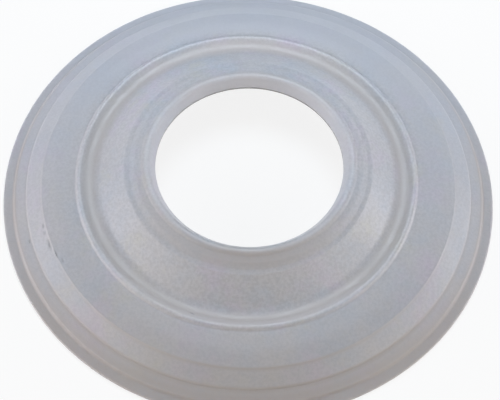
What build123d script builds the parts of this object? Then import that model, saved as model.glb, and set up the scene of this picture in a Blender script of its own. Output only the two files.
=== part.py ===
from build123d import *
from math import hypot
import os

# A condensate drain gasket: one thin-walled ring of soft translucent silicone,
# shaped like a wide hat with a hole in its crown. It lies on its outer rim, and
# the drain pipe passes through the hole.
#
# Millimetres. Z is the axis of the hole, and Z = 0 is the surface that the rim rests on.
# The section is drawn in the plane of X and Z, from the hole outwards, and is turned
# once round the axis. Each stretch of it has a width, across, and a drop, down.

# The hole and the thin sealing lip that turns down round it
BORE_RADIUS = 12.0
SEAL_LIP_EDGE = 0.5
SEAL_LIP_WALL = 0.7
SEAL_LIP_WIDTH = 1.0
SEAL_LIP_RISE = 1.4

# The crown, which falls outwards from the lip in two soft steps
CROWN_SLOPE_WIDTH = 0.8
CROWN_SLOPE_DROP = 0.42
CROWN_TREAD_WIDTH = 0.75
CROWN_TREAD_DROP = 0.24
STEP_SLOPE_WIDTH = 0.7
STEP_SLOPE_DROP = 0.42
STEP_TREAD_WIDTH = 0.6
STEP_TREAD_DROP = 0.15

# The cone, which runs down into a gutter
CONE_WIDTH = 3.95
CONE_DROP = 3.0

# The far side of the gutter, which rises to a bead with a crisp step outside it
BEAD_WIDTH = 1.8
BEAD_RISE = 0.8
BEAD_TOP_WIDTH = 0.25
BEAD_TOP_DROP = 0.01
BEAD_STEP_WIDTH = 0.2
BEAD_STEP_DROP = 0.38

# The gently domed flange, with a fine step where it ends
FLANGE_INNER_WIDTH = 2.75
FLANGE_INNER_DROP = 0.28
FLANGE_OUTER_WIDTH = 1.9
FLANGE_OUTER_DROP = 0.53
FLANGE_STEP_WIDTH = 0.15
FLANGE_STEP_DROP = 0.12

# The sloping band round the flange, with a crisp step outside it
BAND_WIDTH = 1.95
BAND_DROP = 1.2
BAND_STEP_WIDTH = 0.15
BAND_STEP_DROP = 0.22

# The outer lip, which turns down to a narrow ledge at the rim
LIP_TOP_WIDTH = 1.55
LIP_TOP_DROP = 0.67
LIP_SIDE_WIDTH = 0.2
LIP_SIDE_DROP = 0.32
LEDGE_WIDTH = 1.3
LEDGE_DROP = 0.24
RIM_HEIGHT = 0.45
FOOT_WIDTH = 1.6

# The wall between the upper and the lower surface, but for the thin sealing lip
WALL = 1.3

# The radii of the rounded corners
CRISP_ROUND = 0.08
EDGE_ROUND = 0.2
SEAL_LIP_ROUND = 0.3
CROWN_ROUND = 0.6
GUTTER_ROUND = 2.0
FLANGE_ROUND = 8.0
UNDERSIDE_ROUND = 0.8


def upper_surface():
    """Each named corner of the upper surface as (radius, height, rounding), outwards."""
    stretches = [
        ("seal_lip", SEAL_LIP_WIDTH, -SEAL_LIP_RISE, SEAL_LIP_ROUND),
        ("crown_tread", CROWN_SLOPE_WIDTH, CROWN_SLOPE_DROP, CROWN_ROUND),
        ("crown_step", CROWN_TREAD_WIDTH, CROWN_TREAD_DROP, CROWN_ROUND),
        ("step_tread", STEP_SLOPE_WIDTH, STEP_SLOPE_DROP, CROWN_ROUND),
        ("shoulder", STEP_TREAD_WIDTH, STEP_TREAD_DROP, CROWN_ROUND),
        ("gutter", CONE_WIDTH, CONE_DROP, GUTTER_ROUND),
        ("bead", BEAD_WIDTH, -BEAD_RISE, CRISP_ROUND),
        ("bead_edge", BEAD_TOP_WIDTH, BEAD_TOP_DROP, CRISP_ROUND),
        ("flange_start", BEAD_STEP_WIDTH, BEAD_STEP_DROP, CRISP_ROUND),
        ("flange_knee", FLANGE_INNER_WIDTH, FLANGE_INNER_DROP, FLANGE_ROUND),
        ("flange_end", FLANGE_OUTER_WIDTH, FLANGE_OUTER_DROP, CRISP_ROUND),
        ("band_start", FLANGE_STEP_WIDTH, FLANGE_STEP_DROP, CRISP_ROUND),
        ("band_end", BAND_WIDTH, BAND_DROP, CRISP_ROUND),
        ("lip_start", BAND_STEP_WIDTH, BAND_STEP_DROP, CRISP_ROUND),
        ("lip_end", LIP_TOP_WIDTH, LIP_TOP_DROP, EDGE_ROUND),
        ("ledge", LIP_SIDE_WIDTH, LIP_SIDE_DROP, EDGE_ROUND),
        ("rim", LEDGE_WIDTH, LEDGE_DROP, EDGE_ROUND),
    ]
    radius = BORE_RADIUS
    height = RIM_HEIGHT + sum(drop for _, _, drop, _ in stretches)
    corners = {"hole": (radius, height, CRISP_ROUND)}
    for name, width, drop, rounding in stretches:
        radius += width
        height -= drop
        corners[name] = (radius, height, rounding)
    return corners


def downward_normal(start, end):
    """The unit normal below the line from one corner to the next one outwards."""
    across = end[0] - start[0]
    up = end[1] - start[1]
    length = hypot(across, up)
    return up / length, -across / length


def one_wall_below(before, corner, after, wall):
    """The point that lies one wall's thickness below both lines that meet at a corner."""
    first = downward_normal(before, corner)
    second = downward_normal(corner, after)
    spread = 1 + first[0] * second[0] + first[1] * second[1]
    radius = corner[0] + wall * (first[0] + second[0]) / spread
    height = corner[1] + wall * (first[1] + second[1]) / spread
    return radius, height, UNDERSIDE_ROUND


def lower_surface(upper):
    """The corners of the lower surface, inwards. The fine relief above doesn't show in it."""
    followed = ["hole", "seal_lip", "crown_step", "shoulder", "gutter", "flange_start"]
    followed += ["flange_knee", "flange_end", "band_end", "ledge"]
    line = [upper[name] for name in followed]
    walls = [SEAL_LIP_WALL] + [WALL] * (len(line) - 3)
    below = [one_wall_below(*line[i : i + 3], wall) for i, wall in enumerate(walls)]
    rim_radius = upper["rim"][0]
    foot = [(rim_radius, 0, EDGE_ROUND), (rim_radius - FOOT_WIDTH, 0, EDGE_ROUND)]
    hole_radius, hole_height, _ = upper["hole"]
    lip_underside = (hole_radius, hole_height - SEAL_LIP_EDGE, CRISP_ROUND)
    return foot + below[::-1] + [lip_underside]


def section():
    """The closed section of the gasket, with every corner rounded by its own radius."""
    upper = upper_surface()
    corners = list(upper.values()) + lower_surface(upper)
    points = [(radius, height) for radius, height, _ in corners]
    roundings = [rounding for _, _, rounding in corners]
    with BuildSketch(Plane.XZ) as sketch:
        with BuildLine():
            FilletPolyline(*points, radius=roundings, close=True)
        make_face()
    return sketch.sketch


gasket = revolve(section(), Axis.Z, 360)
gasket.label = "gasket"

os.makedirs("parts", exist_ok=True)
export_step(gasket, "parts/gasket.step")
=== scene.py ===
import math

import bmesh
import bpy
from mathutils import Matrix, Vector, noise


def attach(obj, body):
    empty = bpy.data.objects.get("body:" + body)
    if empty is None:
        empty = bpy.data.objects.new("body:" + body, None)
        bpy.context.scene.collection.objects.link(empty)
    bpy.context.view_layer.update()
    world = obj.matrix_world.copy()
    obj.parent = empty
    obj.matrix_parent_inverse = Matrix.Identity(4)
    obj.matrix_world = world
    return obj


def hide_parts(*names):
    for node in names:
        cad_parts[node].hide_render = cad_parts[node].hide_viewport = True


# The gasket is drawn in millimetres and degrees. Azimuth 0 is on the right of the picture,
# 90 is behind the gasket and 270 is its near side.
MM = 0.001

# The upper surface, from the hole outwards: radius, height and rounding of each corner. It is
# the solid's, with softer roundings of the lip's crest, the bead and the fine steps.
UPPER = {
    "hole": (12.0, 6.45, 0.08),
    "lip_crest": (13.0, 8.07, 0.72),
    "crown_tread": (13.8, 7.43, 0.6),
    "crown_step": (14.55, 7.19, 0.6),
    "step_tread": (15.25, 6.77, 0.6),
    "shoulder": (15.85, 6.62, 0.6),
    "gutter": (19.8, 3.62, 2.0),
    "bead": (21.45, 4.36, 0.6),
    "bead_edge": (21.8, 4.38, 0.42),
    "flange_start": (22.1, 4.02, 0.42),
    "flange_knee": (24.8, 3.75, 8.0),
    "flange_end": (26.7, 3.22, 0.25),
    "band_start": (26.85, 3.1, 0.25),
    "band_end": (28.8, 1.9, 0.2),
    "lip_start": (28.95, 1.68, 0.2),
    "lip_end": (30.5, 1.01, 0.48),
    "ledge": (30.7, 0.69, 0.48),
    "rim": (32.0, 0.45, 0.2),
}

# The underside lies one wall's thickness below a line through the main corners above. At the
# lip's crest and at the bead's foot that line has the solid's own corners.
SOLID_CREST = (13.0, 7.85)
SOLID_BEAD_FOOT = (22.05, 4.03)
FOLLOWED = [
    UPPER["hole"],
    SOLID_CREST,
    UPPER["crown_step"],
    UPPER["shoulder"],
    UPPER["gutter"],
    SOLID_BEAD_FOOT,
    UPPER["flange_knee"],
    UPPER["flange_end"],
    UPPER["band_end"],
    UPPER["ledge"],
]
LIP_WALL = 0.7
WALL = 1.3
LIP_EDGE = 0.5
FOOT_WIDTH = 1.6
UNDERSIDE_ROUND = 0.8

# How finely the ring and the section are divided
SEGMENTS = 330
UPPER_STEP = 0.22
LOWER_STEP = 0.55
ARC_STEP = 9.0

# The section's points belong to the underside from the first one below the foot's height to the
# last one that lies outside the hole's wall and under the lip.
FOOT_HEIGHT = 0.25
LIP_INSIDE = 12.05
LIP_UNDER = 6.2

# Small nicks: radius, azimuth, half length round the ring and half width. The sector that holds
# most of them has more segments.
NICKS = [
    (27.05, 197.2, 0.50, 0.16),
    (27.10, 199.3, 0.40, 0.20),
    (26.95, 203.4, 1.30, 0.16),
    (26.62, 206.9, 0.90, 0.15),
    (26.32, 209.7, 0.60, 0.14),
    (29.20, 199.0, 0.30, 0.15),
    (20.90, 253.0, 0.28, 0.14),
]
NICK_DEPTH = 0.09
NICK_RAGGEDNESS = 0.5
NICK_RAGGED_SCALE = 4
NICK_SECTOR = (195.0, 212.0)
NICK_SPACING = 0.45

# The rings round the gutter sit slightly off the axis and are slightly longer in depth
RING_MIDDLE = 20.5
RING_REACH = 8.0
RING_SHIFT = -0.30
RING_STRETCH = 0.20

# Where the tints of the upper surface lie, which are painted light and shade. A band has a share,
# the radius of its middle and its half width. A slope has the radius where it starts and the
# width over which it grows.
# Painted light: the lip is lighter on the far side, as if lit through its thin wall, and the bead
# is lighter on the near side
PAINTED_LIGHT_LIP = (12.4, 0.8)
PAINTED_LIGHT_BEAD = (0.55, 22.0, 0.6)
# Painted cool light: a bluish tint over the far side outside the bead, where the cool lamp from
# behind falls
PAINTED_COOL_LIGHT_SLOPE = (22.0, 1.5)
# Painted shade: a brownish darkening in the gutter, which drifts outwards on the near side
GUTTER_RADIUS = 20.1
GUTTER_DRIFT = 0.8
GUTTER_HALF_WIDTH = 1.6
HOLE_EDGE_RADIUS = 12.03
HOLE_EDGE_HEIGHT = 6.32

# The painted brown shade, darker towards the near side and on the far side of the lip's crest,
# whose bands and slopes end with the power by which they fade away from the near side. The one
# on the lip's crest lies on the far side.
SHADE_BANDS = {
    "crown": (0.9, 13.9, 2.6, 4),
    "channel": (0.9, 20.45, 0.7, 4),
    "flange_end": (0.5, 26.8, 0.35, 2),
    "band_end": (0.9, 29.0, 0.45, 2),
}
SHADE_SLOPES = {
    "flange": (0.45, 21.9, 0.9, 3),
    "rim": (1.0, 28.9, 1.7, 1.5),
}
SHADE_ON_CREST = (0.5, 13.25, 0.9)
SHADE_ON_LEDGE = (0.9, 30.55, 0.4)


def downward_normal(start, end):
    """The unit normal below the line from one corner to the next one outwards."""
    across = end[0] - start[0]
    up = end[1] - start[1]
    length = math.hypot(across, up)
    return up / length, -across / length


def one_wall_below(before, corner, after, wall):
    """The point that lies one wall's thickness below both lines that meet at a corner."""
    first = downward_normal(before, corner)
    second = downward_normal(corner, after)
    spread = 1 + first[0] * second[0] + first[1] * second[1]
    radius = corner[0] + wall * (first[0] + second[0]) / spread
    height = corner[1] + wall * (first[1] + second[1]) / spread
    return radius, height, UNDERSIDE_ROUND


def lower_corners():
    """The corners of the foot and the underside, inwards, each with its rounding."""
    rim_radius, _, rim_round = UPPER["rim"]
    hole_radius, hole_height, hole_round = UPPER["hole"]
    foot = [(rim_radius, 0.0, rim_round), (rim_radius - FOOT_WIDTH, 0.0, rim_round)]
    walls = [LIP_WALL] + [WALL] * (len(FOLLOWED) - 3)
    below = [one_wall_below(*FOLLOWED[i : i + 3], wall) for i, wall in enumerate(walls)]
    return foot + below[::-1] + [(hole_radius, hole_height - LIP_EDGE, hole_round)]


def rounded_loop(corners, steps):
    """The points of the closed section, each corner with its own rounding."""
    count = len(corners)
    arcs = []
    for i in range(count):
        before = Vector(corners[i - 1][:2])
        corner = Vector(corners[i][:2])
        after = Vector(corners[(i + 1) % count][:2])
        inward = (before - corner).normalized()
        outward = (after - corner).normalized()
        half = inward.angle(outward) / 2
        turn = math.pi - 2 * half
        radius = corners[i][2]
        centre = corner + (inward + outward).normalized() * (radius / math.sin(half))
        start = corner + inward * (radius / math.tan(half))
        spoke = start - centre
        sign = 1 if inward.x * outward.y - inward.y * outward.x < 0 else -1
        by_angle = math.ceil(math.degrees(turn) / ARC_STEP)
        by_length = math.ceil(radius * turn / steps[i])
        pieces = max(2, by_angle, by_length)
        arc = []
        for k in range(pieces + 1):
            angle = sign * turn * k / pieces
            cosine = math.cos(angle)
            sine = math.sin(angle)
            turned = (cosine * spoke.x - sine * spoke.y, sine * spoke.x + cosine * spoke.y)
            arc.append(centre + Vector(turned))
        arcs.append(arc)
    loop = []
    for i in range(count):
        loop.extend(arcs[i])
        start = arcs[i][-1]
        end = arcs[(i + 1) % count][0]
        pieces = max(1, math.ceil((end - start).length / steps[i]))
        loop.extend(start.lerp(end, k / pieces) for k in range(1, pieces))
    return loop


def bump(x, centre, half_width):
    """A smooth hill of height 1."""
    t = (x - centre) / half_width
    return max(0.0, 1 - t * t) ** 2


def ramp(x, start, width):
    """Rises evenly from 0 at the start to 1, and stays there."""
    return min(1, max(0, (x - start) / width))


def band(radius, share, centre, half_width):
    """The share of a tint that lies in a band round the ring."""
    return share * bump(radius, centre, half_width)


def uneven(radius, angle):
    """Where a point of the true revolved shape lies on the slightly uneven moulding."""
    x = radius * math.cos(angle)
    y = radius * math.sin(angle)
    middle = bump(radius, RING_MIDDLE, RING_REACH)
    x += RING_SHIFT * middle
    y += RING_STRETCH * middle * math.sin(angle)
    return x, y


def ring_angles():
    """The azimuths of the segments, closer together where the nicks are."""
    first, last = NICK_SECTOR
    angles = [360 * i / SEGMENTS for i in range(SEGMENTS)]
    angles = [angle for angle in angles if not first < angle < last]
    count = round((last - first) / NICK_SPACING)
    angles += [first + (last - first) * (i + 0.5) / count for i in range(count)]
    return [math.radians(angle) for angle in sorted(angles)]


def nicked(radius, angle):
    """How deep a nick is at a point, from 0 to 1."""
    deepest = 0.0
    ragged = noise.noise(Vector((radius * NICK_RAGGED_SCALE, math.degrees(angle), 0)))
    for centre, azimuth, half_length, half_width in NICKS:
        turn = (math.degrees(angle) - azimuth + 180) % 360 - 180
        along = math.radians(turn) * centre / half_length
        across = (radius - centre) / half_width + NICK_RAGGEDNESS * ragged
        deepest = max(deepest, bump(math.hypot(along, across), 0, 1))
    return deepest


def painted_shade_share(radius, near):
    """The share of the painted brown shade, where near is 1 on the near side and 0 on the far
    side.
    """
    share = band(radius, *SHADE_ON_CREST) * (1 - near) ** 2
    share += band(radius, *SHADE_ON_LEDGE) * min(1, 2 * near)
    for *shape, power in SHADE_BANDS.values():
        share += band(radius, *shape) * near**power
    for most, start, width, power in SHADE_SLOPES.values():
        share += most * ramp(radius, start, width) * near**power
    return min(1, share)


def marks(radius, height, angle, upper):
    """The tints at a point, as the four channels of a colour.

    Red is painted light, lighter on the lip's far side and the bead's near side, or below 0 the
    painted brownish shade in the gutter. Green is the dark edge of the hole, or below 0 painted
    cool light on the far side. Blue is painted brown shade, mostly near, and alpha is the nicks.
    """
    if not upper:
        return (0.0, 0.0, 0.0, 0.0)
    near = 0.5 - 0.5 * math.sin(angle)
    far = 1 - near
    # Painted light: a lighter lip on the far side and a lighter bead on the near side
    painted_light = far * (1 - ramp(radius, *PAINTED_LIGHT_LIP)) + band(radius, *PAINTED_LIGHT_BEAD) * near**2
    # Painted shade in the gutter
    gutter_shade = bump(radius, GUTTER_RADIUS + GUTTER_DRIFT * near**2, GUTTER_HALF_WIDTH)
    edge = 1.0 if radius < HOLE_EDGE_RADIUS and height < HOLE_EDGE_HEIGHT else 0.0
    # Painted cool light, bluish, growing towards the far side
    cool_light = ramp(radius, *PAINTED_COOL_LIGHT_SLOPE) * far**1.5
    return (painted_light - gutter_shade, edge - cool_light, painted_shade_share(radius, near), nicked(radius, angle))


def placed(name, data):
    """A new object of the scene that holds the given data."""
    item = bpy.data.objects.new(name, data)
    bpy.context.scene.collection.objects.link(item)
    return item


def build_skin():
    """The gasket's visible surface: the section, carried round the axis."""
    lower = lower_corners()
    corners = list(UPPER.values()) + lower
    steps = [UPPER_STEP] * len(UPPER) + [LOWER_STEP] * len(lower)
    loop = rounded_loop(corners, steps)
    angles = ring_angles()
    count = len(loop)
    upper_end = next(k for k in range(count) if loop[k].y < FOOT_HEIGHT)
    lip_end = max(k for k in range(count) if loop[k].x > LIP_INSIDE and loop[k].y < LIP_UNDER)
    verts = []
    shares = []
    for angle in angles:
        for k, point in enumerate(loop):
            share = marks(point.x, point.y, angle, not upper_end <= k < lip_end)
            x, y = uneven(point.x, angle)
            z = point.y - NICK_DEPTH * share[3]
            verts.append((x * MM, y * MM, z * MM))
            shares.extend(share)
    faces = []
    for i in range(len(angles)):
        j = (i + 1) % len(angles)
        for k in range(count):
            m = (k + 1) % count
            faces.append((i * count + k, i * count + m, j * count + m, j * count + k))
    mesh = bpy.data.meshes.new("gasket_skin")
    mesh.from_pydata(verts, [], faces)
    mesh.update()
    layer = mesh.attributes.new("marks", "FLOAT_COLOR", "POINT")
    layer.data.foreach_set("color", shares)
    bm = bmesh.new()
    bm.from_mesh(mesh)
    bmesh.ops.recalc_face_normals(bm, faces=bm.faces)
    for face in bm.faces:
        face.smooth = True
    bm.to_mesh(mesh)
    bm.free()
    return placed("gasket_skin", mesh)


# The silicone's own colours, and those that the marks bring: painted light, painted shade and the
# nicks
MILK = (0.534, 0.528, 0.544)
MILK_BLUE = (0.485, 0.512, 0.562)
MILK_LILAC = (0.548, 0.510, 0.576)
MILK_WARM = (0.540, 0.530, 0.500)
GRAIN_BLACK = (0, 0, 0)
# Painted cool light: the bluish tint of the far side
FAR_PAINTED_COOL_LIGHT = (0.512, 0.526, 0.570)
# Painted shade: the brownish darkening in the gutter
GUTTER_PAINTED_SHADE = (0.540, 0.502, 0.485)
# Painted light, on the far side of the lip and the near side of the bead
PAINTED_LIGHT_PALE = (0.580, 0.578, 0.610)
EDGE_SHADE = (0.170, 0.165, 0.150)
# Painted shade: a brownish darkening, mostly over the near side and on the far side of the lip's
# crest
PAINTED_SHADE_BROWN = (0.446, 0.412, 0.396)
NICK_SHADE = (0.270, 0.270, 0.290)

# Faint patches of colour: scale, seed, and the noise values at which they start and are full
BLUE_PATCHES = (110, 0, (0.45, 0.65))
LILAC_PATCHES = (140, 3, (0.50, 0.68))
WARM_PATCHES = (170, 7, (0.55, 0.72))
PATCH_DETAIL = 5
PATCH_ROUGHNESS = 0.68

# Finer noises: scale, detail, roughness and seed
FINE_GRAIN = (2600, 3, 0.65, 1)
NICK_GRAIN = (3800, 2, 0.6, 5)
GLOSS_GRAIN = (300, 3, 0.6, 2)

# The noise values that are used, and what the noise gives at the first and the last of them
GRAIN_VALUES = (0.40, 0.60)
GRAIN_SHADE = (0.12, 0)
# The painted brown shade is blotched by the fine grain
SHADE_VALUES = (0.3, 0.7)
SHADE_SHARE = (0.6, 1)
NICK_VALUES = (0.35, 0.60)
NICK_SHARE = (0.6, 1)
GLOSS_VALUES = (0.3, 0.7)
ROUGHNESS = (0.30, 0.46)

# A channel of the marks holds one tint above 0 and may hold another one below it
ABOVE = (0, 1)
BELOW = (0, -1)
FULL = (0, 1)
MOSTLY = (0, 0.8)

SUBSURFACE_SCALE = 0.6 * MM
SILICONE_IOR = 1.41
RELIEF_STRENGTH = 0.5
RELIEF_DEPTH = 0.05 * MM


def silicone():
    """Milky silicone: light scatters in it, and the marks tint it."""
    mat = bpy.data.materials.new("milky_silicone")
    mat.use_nodes = True
    tree = mat.node_tree
    nodes, links = tree.nodes, tree.links
    shader = nodes["Principled BSDF"]
    shader.inputs["Subsurface Weight"].default_value = 1.0
    shader.inputs["Subsurface Radius"].default_value = (1.0, 1.0, 1.0)
    shader.inputs["Subsurface Scale"].default_value = SUBSURFACE_SCALE
    shader.inputs["IOR"].default_value = SILICONE_IOR
    coords = nodes.new("ShaderNodeTexCoord")

    def grain(scale, detail, rough, seed):
        tex = nodes.new("ShaderNodeTexNoise")
        tex.noise_dimensions = "4D"
        tex.inputs["W"].default_value = seed
        tex.inputs["Scale"].default_value = scale
        tex.inputs["Detail"].default_value = detail
        tex.inputs["Roughness"].default_value = rough
        links.new(coords.outputs["Object"], tex.inputs["Vector"])
        return tex.outputs["Fac"]

    def fit(value, values, results):
        node = nodes.new("ShaderNodeMapRange")
        node.inputs["From Min"].default_value = values[0]
        node.inputs["From Max"].default_value = values[1]
        node.inputs["To Min"].default_value = results[0]
        node.inputs["To Max"].default_value = results[1]
        links.new(value, node.inputs["Value"])
        return node.outputs["Result"]

    def tinted(colour, share, tint):
        node = nodes.new("ShaderNodeMix")
        node.data_type = "RGBA"
        links.new(share, node.inputs["Factor"])
        links.new(colour, node.inputs["A"])
        node.inputs["B"].default_value = (*tint, 1)
        return node.outputs["Result"]

    def product(first, second):
        node = nodes.new("ShaderNodeMath")
        node.operation = "MULTIPLY"
        links.new(first, node.inputs[0])
        links.new(second, node.inputs[1])
        return node.outputs[0]

    def patches(scale, seed, values):
        return fit(grain(scale, PATCH_DETAIL, PATCH_ROUGHNESS, seed), values, FULL)

    base = nodes.new("ShaderNodeMix")
    base.data_type = "RGBA"
    base.inputs["A"].default_value = (*MILK, 1)
    base.inputs["B"].default_value = (*MILK_BLUE, 1)
    links.new(patches(*BLUE_PATCHES), base.inputs["Factor"])
    colour = tinted(base.outputs["Result"], patches(*LILAC_PATCHES), MILK_LILAC)
    colour = tinted(colour, patches(*WARM_PATCHES), MILK_WARM)
    fine = grain(*FINE_GRAIN)
    colour = tinted(colour, fit(fine, GRAIN_VALUES, GRAIN_SHADE), GRAIN_BLACK)

    layer = nodes.new("ShaderNodeAttribute")
    layer.attribute_name = "marks"
    parts = nodes.new("ShaderNodeSeparateColor")
    links.new(layer.outputs["Color"], parts.inputs["Color"])
    red = parts.outputs["Red"]
    green = parts.outputs["Green"]
    # Painted brown shade, blotched by the fine grain
    painted_shade = product(parts.outputs["Blue"], fit(fine, SHADE_VALUES, SHADE_SHARE))
    nick = product(layer.outputs["Alpha"], fit(grain(*NICK_GRAIN), NICK_VALUES, NICK_SHARE))
    # Painted cool light on the far side
    colour = tinted(colour, fit(green, BELOW, MOSTLY), FAR_PAINTED_COOL_LIGHT)
    # Painted light on the lip and the bead
    colour = tinted(colour, fit(red, ABOVE, FULL), PAINTED_LIGHT_PALE)
    # Painted shade in the gutter
    colour = tinted(colour, fit(red, BELOW, MOSTLY), GUTTER_PAINTED_SHADE)
    # Painted shade, mostly on the near side
    colour = tinted(colour, painted_shade, PAINTED_SHADE_BROWN)
    colour = tinted(colour, nick, NICK_SHADE)
    colour = tinted(colour, fit(green, ABOVE, FULL), EDGE_SHADE)
    links.new(colour, shader.inputs["Base Color"])

    gloss = fit(grain(*GLOSS_GRAIN), GLOSS_VALUES, ROUGHNESS)
    links.new(gloss, shader.inputs["Roughness"])
    relief = nodes.new("ShaderNodeBump")
    relief.inputs["Strength"].default_value = RELIEF_STRENGTH
    relief.inputs["Distance"].default_value = RELIEF_DEPTH
    links.new(fine, relief.inputs["Height"])
    links.new(relief.outputs["Normal"], shader.inputs["Normal"])
    return mat


# The white table: half its width in metres, the light that it gives back, and how much of it is
# plain white where it is seen directly, in a reflection or through the silicone
TABLE_HALF = 1.5
TABLE_GREY = 0.85
TABLE_WHITE = 0.85


def build_floor():
    """A table that catches shadows and looks white, as the photo's background."""
    bm = bmesh.new()
    bmesh.ops.create_grid(bm, x_segments=1, y_segments=1, size=TABLE_HALF)
    mesh = bpy.data.meshes.new("floor")
    bm.to_mesh(mesh)
    bm.free()
    floor = placed("floor", mesh)
    mat = bpy.data.materials.new("white_table")
    mat.use_nodes = True
    tree = mat.node_tree
    nodes, links = tree.nodes, tree.links
    nodes.clear()
    out = nodes.new("ShaderNodeOutputMaterial")
    board = nodes.new("ShaderNodeBsdfDiffuse")
    board.inputs["Color"].default_value = (TABLE_GREY, TABLE_GREY, TABLE_GREY, 1)
    white = nodes.new("ShaderNodeEmission")
    white.inputs["Color"].default_value = (1, 1, 1, 1)
    white.inputs["Strength"].default_value = 1.0
    path = nodes.new("ShaderNodeLightPath")
    seen = path.outputs["Is Camera Ray"]
    for ray in ("Is Transmission Ray", "Is Glossy Ray"):
        either = nodes.new("ShaderNodeMath")
        either.operation = "MAXIMUM"
        links.new(seen, either.inputs[0])
        links.new(path.outputs[ray], either.inputs[1])
        seen = either.outputs[0]
    share = nodes.new("ShaderNodeMath")
    share.operation = "MULTIPLY"
    share.inputs[1].default_value = TABLE_WHITE
    links.new(seen, share.inputs[0])
    mix = nodes.new("ShaderNodeMixShader")
    links.new(share.outputs[0], mix.inputs["Fac"])
    links.new(board.outputs[0], mix.inputs[1])
    links.new(white.outputs[0], mix.inputs[2])
    links.new(mix.outputs[0], out.inputs["Surface"])
    mesh.materials.append(mat)


# Each lamp: azimuth and elevation that it shines from, distance and size in metres, watts, colour
LAMPS = [
    ("low_right", 5, 12, 0.24, 0.14, 0.26, (0.91, 0.92, 1.0)),
    ("low_left", 182, 12, 0.24, 0.14, 0.26, (0.92, 0.91, 1.0)),
    ("near_left", 212, 24, 0.24, 0.16, 0.19, (1.0, 0.93, 0.85)),
    ("near_right", 328, 24, 0.24, 0.16, 0.17, (1.0, 0.92, 0.82)),
    ("near", 270, 19, 0.60, 0.40, 0.57, (1.0, 0.96, 0.90)),
    ("far_above", 90, 64, 0.12, 0.07, 0.103, (0.78, 0.89, 1.0)),
]
WORLD_COLOUR = (0.95, 0.97, 1.0)
WORLD_STRENGTH = 0.03


def build_lights():
    """The lamps round the gasket and a faint light from everywhere."""
    for name, azimuth, elevation, distance, size, watts, colour in LAMPS:
        lamp = bpy.data.lights.new(name, "AREA")
        lamp.shape = "DISK"
        lamp.size = size
        lamp.energy = watts
        lamp.color = colour
        turn = math.radians(azimuth)
        rise = math.radians(elevation)
        flat = math.cos(rise)
        direction = Vector((math.cos(turn) * flat, math.sin(turn) * flat, math.sin(rise)))
        holder = placed(name, lamp)
        holder.location = direction * distance
        holder.rotation_euler = direction.to_track_quat("Z", "Y").to_euler()
    world = bpy.data.worlds.new("studio")
    world.use_nodes = True
    back = world.node_tree.nodes["Background"]
    back.inputs["Color"].default_value = (*WORLD_COLOUR, 1)
    back.inputs["Strength"].default_value = WORLD_STRENGTH
    bpy.context.scene.world = world


# The camera that the photo's ellipses give: where it looks, from how far and how steeply. The
# lens and the sensor are in millimetres, the other lengths in metres.
CAMERA_ELEVATION = 59.5
CAMERA_ROLL = 1.81
CAMERA_TARGET = (0.000214, -0.001485, 0)
CAMERA_DISTANCE = 0.18323
CAMERA_LENS = 100.8
CAMERA_SENSOR = 36
CAMERA_CLIP_START = 0.01
CAMERA_CLIP_END = 20


def build_camera():
    """The camera, on the near side and slightly rolled."""
    elevation = math.radians(CAMERA_ELEVATION)
    roll = math.radians(CAMERA_ROLL)
    forward = Vector((0, math.cos(elevation), -math.sin(elevation)))
    right = Vector((1, 0, 0))
    up = Vector((0, math.sin(elevation), math.cos(elevation)))
    axis_x = right * math.cos(roll) + up * math.sin(roll)
    axis_y = up * math.cos(roll) - right * math.sin(roll)
    place = Matrix((axis_x, axis_y, -forward)).transposed().to_4x4()
    place.translation = Vector(CAMERA_TARGET) - forward * CAMERA_DISTANCE
    data = bpy.data.cameras.new("camera")
    data.sensor_width = CAMERA_SENSOR
    data.lens = CAMERA_LENS
    data.clip_start = CAMERA_CLIP_START
    data.clip_end = CAMERA_CLIP_END
    camera = placed("camera", data)
    camera.matrix_world = place
    bpy.context.scene.camera = camera


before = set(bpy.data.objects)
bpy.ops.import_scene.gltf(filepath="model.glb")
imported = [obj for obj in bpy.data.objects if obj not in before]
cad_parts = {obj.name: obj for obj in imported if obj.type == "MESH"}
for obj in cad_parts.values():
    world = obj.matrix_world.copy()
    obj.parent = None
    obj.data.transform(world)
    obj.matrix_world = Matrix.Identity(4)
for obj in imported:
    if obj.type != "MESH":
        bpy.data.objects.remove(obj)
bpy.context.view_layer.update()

build_camera()
build_lights()
build_floor()

skin = build_skin()
skin.data.materials.append(silicone())
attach(skin, "root")
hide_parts("gasket")

bpy.context.scene.view_settings.view_transform = "Standard"
